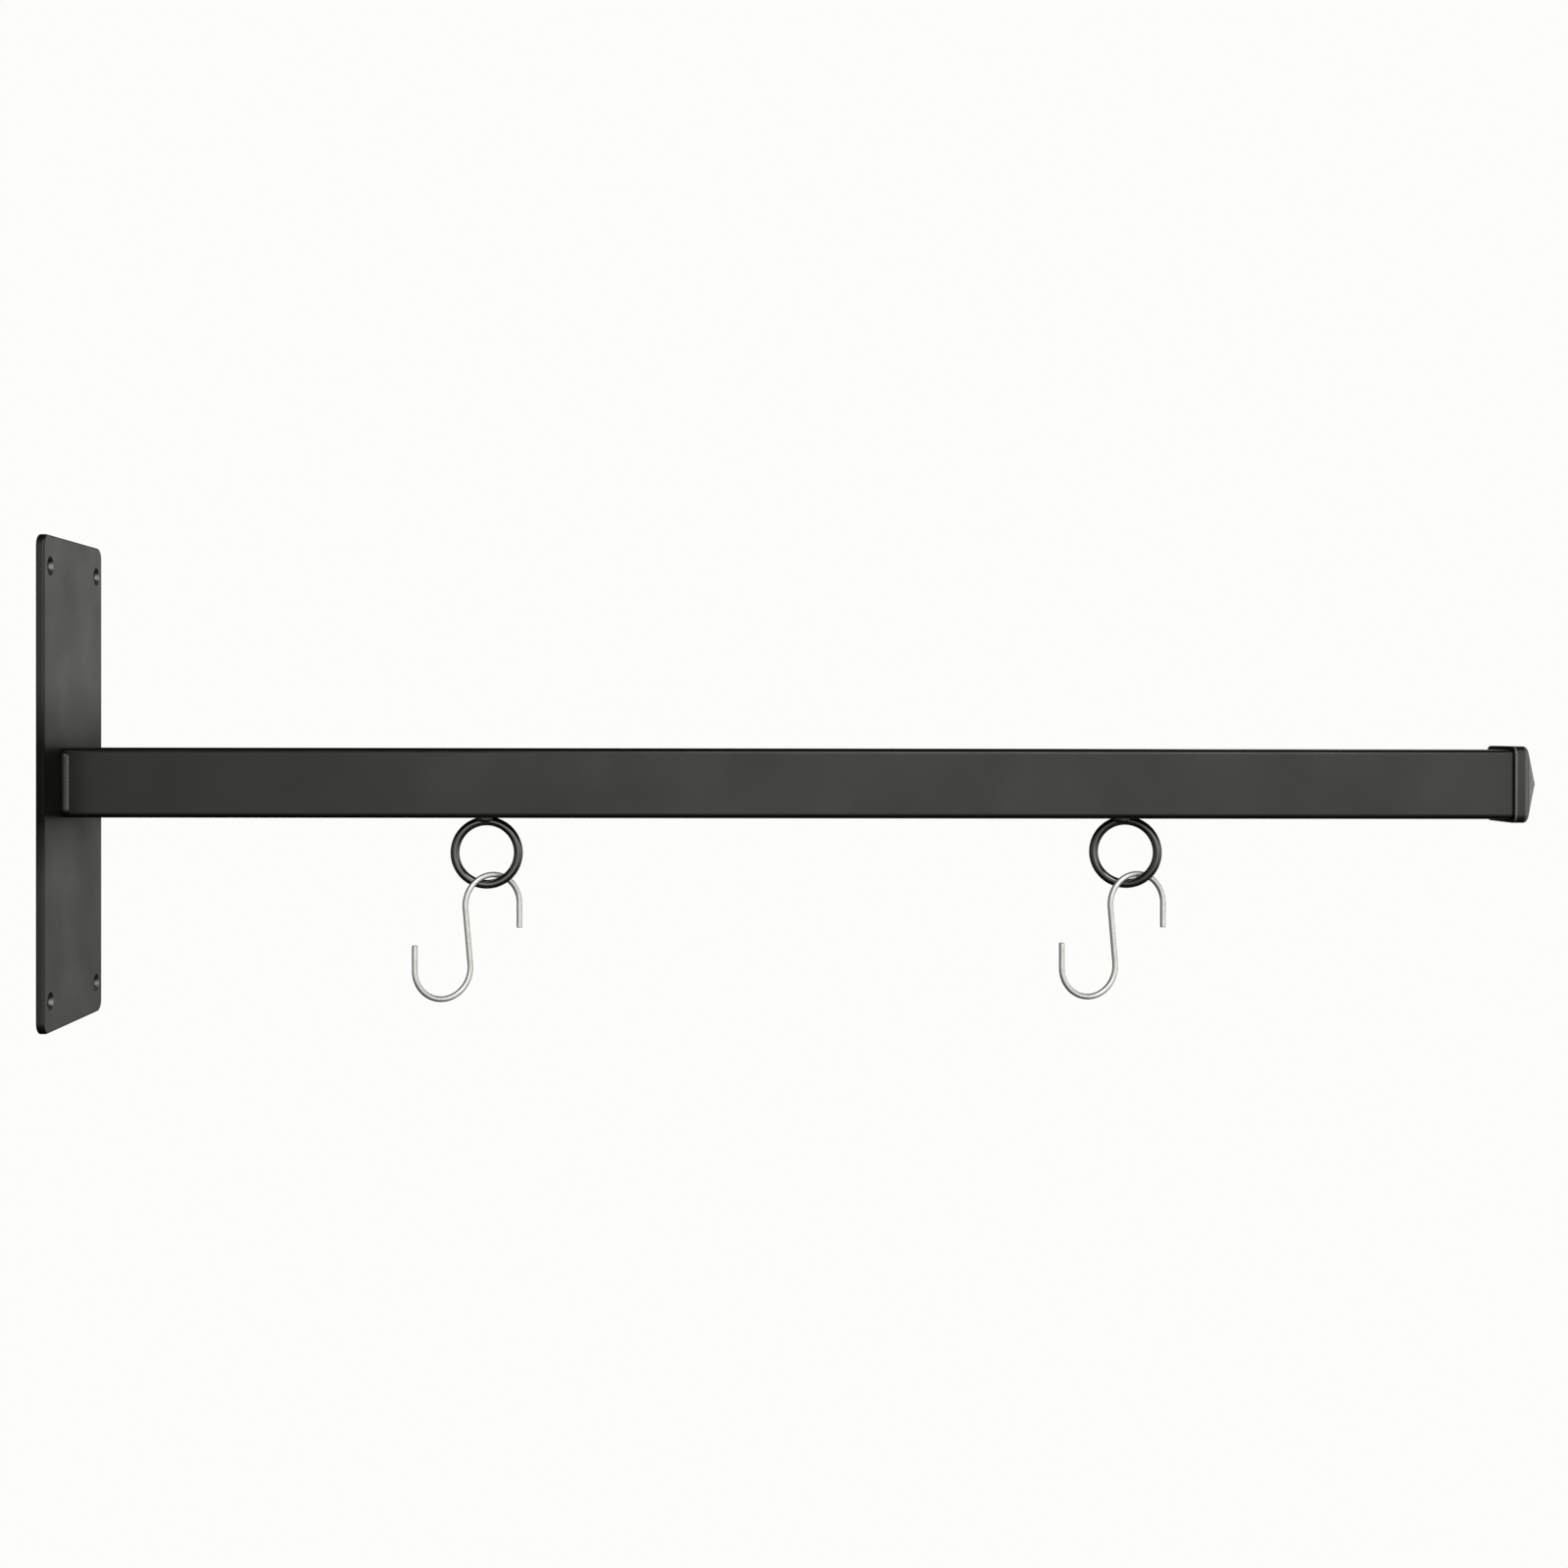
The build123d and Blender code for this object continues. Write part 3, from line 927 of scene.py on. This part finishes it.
class SIGNBRACKET_OT_coat_plate_and_arm(Operator):
    """Powder-coats the wall plate and the arm"""

    bl_idname = "sign_bracket.coat_plate_and_arm"
    bl_label = "Coat Plate and Arm"

    def execute(self, context):
        settings = context.scene.sign_bracket.coat
        finish_nodes(powder_coat(settings, "black_powder_coat"), "arm_tube")
        plate_coat = powder_coat(settings, "black_plate_coat")
        # Painted shade: the plate's coat loses its gloss near the arm, where the arm shades it
        arm_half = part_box("arm_tube")[1].z
        fade_gloss(plate_coat, "Z", arm_half, arm_half + settings.painted_shade_reach)
        bare_screw_holes(plate_coat, settings)
        finish_nodes(plate_coat, "wall_plate")
        return {"FINISHED"}


class SIGNBRACKET_OT_lay_arm_welds(Operator):
    """Lays the rippled weld beads up both sides of the arm's foot"""

    bl_idname = "sign_bracket.lay_arm_welds"
    bl_label = "Lay Arm Welds"

    def execute(self, context):
        for which, side in ARM_SIDES.items():
            arm_bead(context, which, side)
        return {"FINISHED"}


class SIGNBRACKET_OT_lay_ring_welds(Operator):
    """Lays the weld beads that hold the two rings"""

    bl_idname = "sign_bracket.lay_ring_welds"
    bl_label = "Lay Ring Welds"

    def execute(self, context):
        for which, turn in RING_TURNS.items():
            ring_bead(context, which, turn)
        return {"FINISHED"}


class SIGNBRACKET_OT_finish_end_cap(Operator):
    """Moulds the end cap with its soft shoulder and gives it its plastic"""

    bl_idname = "sign_bracket.finish_end_cap"
    bl_label = "Finish End Cap"

    def execute(self, context):
        rounded_cap(context)
        return {"FINISHED"}


class SIGNBRACKET_OT_coat_rings(Operator):
    """Gives the two rings their glossy coat"""

    bl_idname = "sign_bracket.coat_rings"
    bl_label = "Coat Rings"

    def execute(self, context):
        names = [f"{which}_hanging_ring" for which in RING_TURNS]
        finish_nodes(ring_coat(context.scene.sign_bracket.ring), *names)
        return {"FINISHED"}


class SIGNBRACKET_OT_plate_hooks(Operator):
    """Plates the two S-hooks with bright zinc"""

    bl_idname = "sign_bracket.plate_hooks"
    bl_label = "Plate Hooks"

    def execute(self, context):
        names = [f"{which}_s_hook" for which in RING_TURNS]
        finish_nodes(bright_zinc(context.scene.sign_bracket.hook), *names)
        return {"FINISHED"}


class SIGNBRACKET_OT_set_stage(Operator):
    """Sets up the camera, the floor and the studio light"""

    bl_idname = "sign_bracket.set_stage"
    bl_label = "Set Stage"

    def execute(self, context):
        scene = context.scene
        settings = scene.sign_bracket.studio
        scene.view_settings.view_transform = "Standard"
        photo_camera(scene, settings)
        soft_surroundings(scene, settings)
        softbox(scene, settings)
        pale_floor(scene, settings)
        return {"FINISHED"}


class SIGNBRACKET_PT_tools(Panel):
    """Lists the bracket's steps in the order in which they are done"""

    bl_idname = "SIGNBRACKET_PT_tools"
    bl_label = "Sign Bracket"
    bl_space_type = "VIEW_3D"
    bl_region_type = "UI"
    bl_category = "Bracket"

    def draw(self, context):
        for step in STEPS:
            self.layout.operator(step.bl_idname)


STEPS = (
    SIGNBRACKET_OT_set_stage,
    SIGNBRACKET_OT_coat_plate_and_arm,
    SIGNBRACKET_OT_lay_arm_welds,
    SIGNBRACKET_OT_lay_ring_welds,
    SIGNBRACKET_OT_coat_rings,
    SIGNBRACKET_OT_finish_end_cap,
    SIGNBRACKET_OT_plate_hooks,
)
SETTINGS = (
    CoatSettings, RingSettings, CapSettings, HookSettings, BeadSettings, StudioSettings, BracketSettings)
CLASSES = (*SETTINGS, *STEPS, SIGNBRACKET_PT_tools)


def register():
    for each in CLASSES:
        bpy.utils.register_class(each)
    bpy.types.Scene.sign_bracket = PointerProperty(type=BracketSettings)


def unregister():
    del bpy.types.Scene.sign_bracket
    for each in reversed(CLASSES):
        bpy.utils.unregister_class(each)


def main():
    register()
    bpy.ops.sign_bracket.set_stage()
    bpy.ops.sign_bracket.coat_plate_and_arm()
    bpy.ops.sign_bracket.lay_arm_welds()
    bpy.ops.sign_bracket.lay_ring_welds()
    bpy.ops.sign_bracket.coat_rings()
    bpy.ops.sign_bracket.finish_end_cap()
    bpy.ops.sign_bracket.plate_hooks()


if __name__ == "__main__":
    main()
